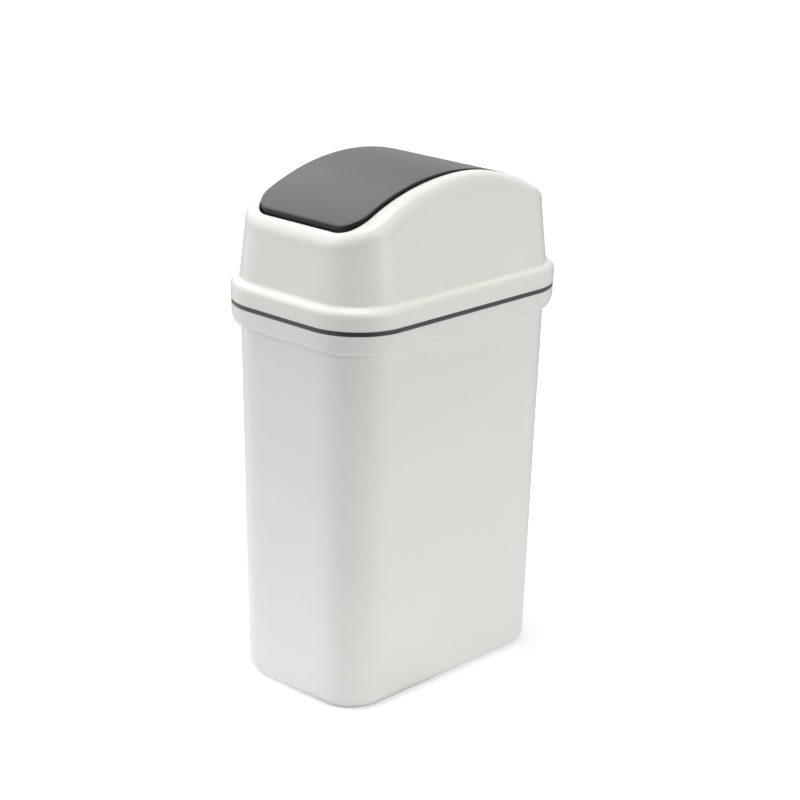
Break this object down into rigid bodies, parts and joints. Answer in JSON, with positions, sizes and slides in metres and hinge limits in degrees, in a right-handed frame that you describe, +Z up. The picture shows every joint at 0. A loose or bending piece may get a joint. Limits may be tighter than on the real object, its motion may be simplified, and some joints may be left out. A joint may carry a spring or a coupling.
{
  "type": "countertop trash can with swing lid",
  "caption": "Slim tapered countertop waste bin with a lift-off cover, a bag ring on the rim and an arched flap that swings both ways on side pins.",
  "frame": {"origin": "centre of the footprint, on the counter that the bin stands on", "axes": "+Z up; +X across the short side; +Y along the long side, from the front end to the back end"},
  "size_m": [0.1258, 0.192, 0.318],
  "materials": {
    "body_plastic": "satin",
    "ring_plastic": "semi-gloss",
    "cover_plastic": "semi-gloss",
    "flap_plastic": "fine matte texture"
  },
  "bodies": {
    "bin": {"bin_body": "body_plastic"},
    "ring": {"bag_ring": "ring_plastic"},
    "lid": {"cover": "cover_plastic"},
    "flap": {"swing_flap": "flap_plastic"}
  },
  "joints": [
    {"name": "ring_lift", "type": "slide", "parent": "bin", "child": "ring", "axis": [0, 0, 1], "range_m": [0, 0.06]},
    {"name": "lid_lift", "type": "slide", "parent": "ring", "child": "lid", "axis": [0, 0, 1], "range_m": [0, 0.12]},
    {"name": "flap_swing", "type": "hinge", "parent": "lid", "child": "flap", "pos_m": [0, 0, 0.3107], "axis": [1, 0, 0], "range_deg": [-80, 80]}
  ]
}
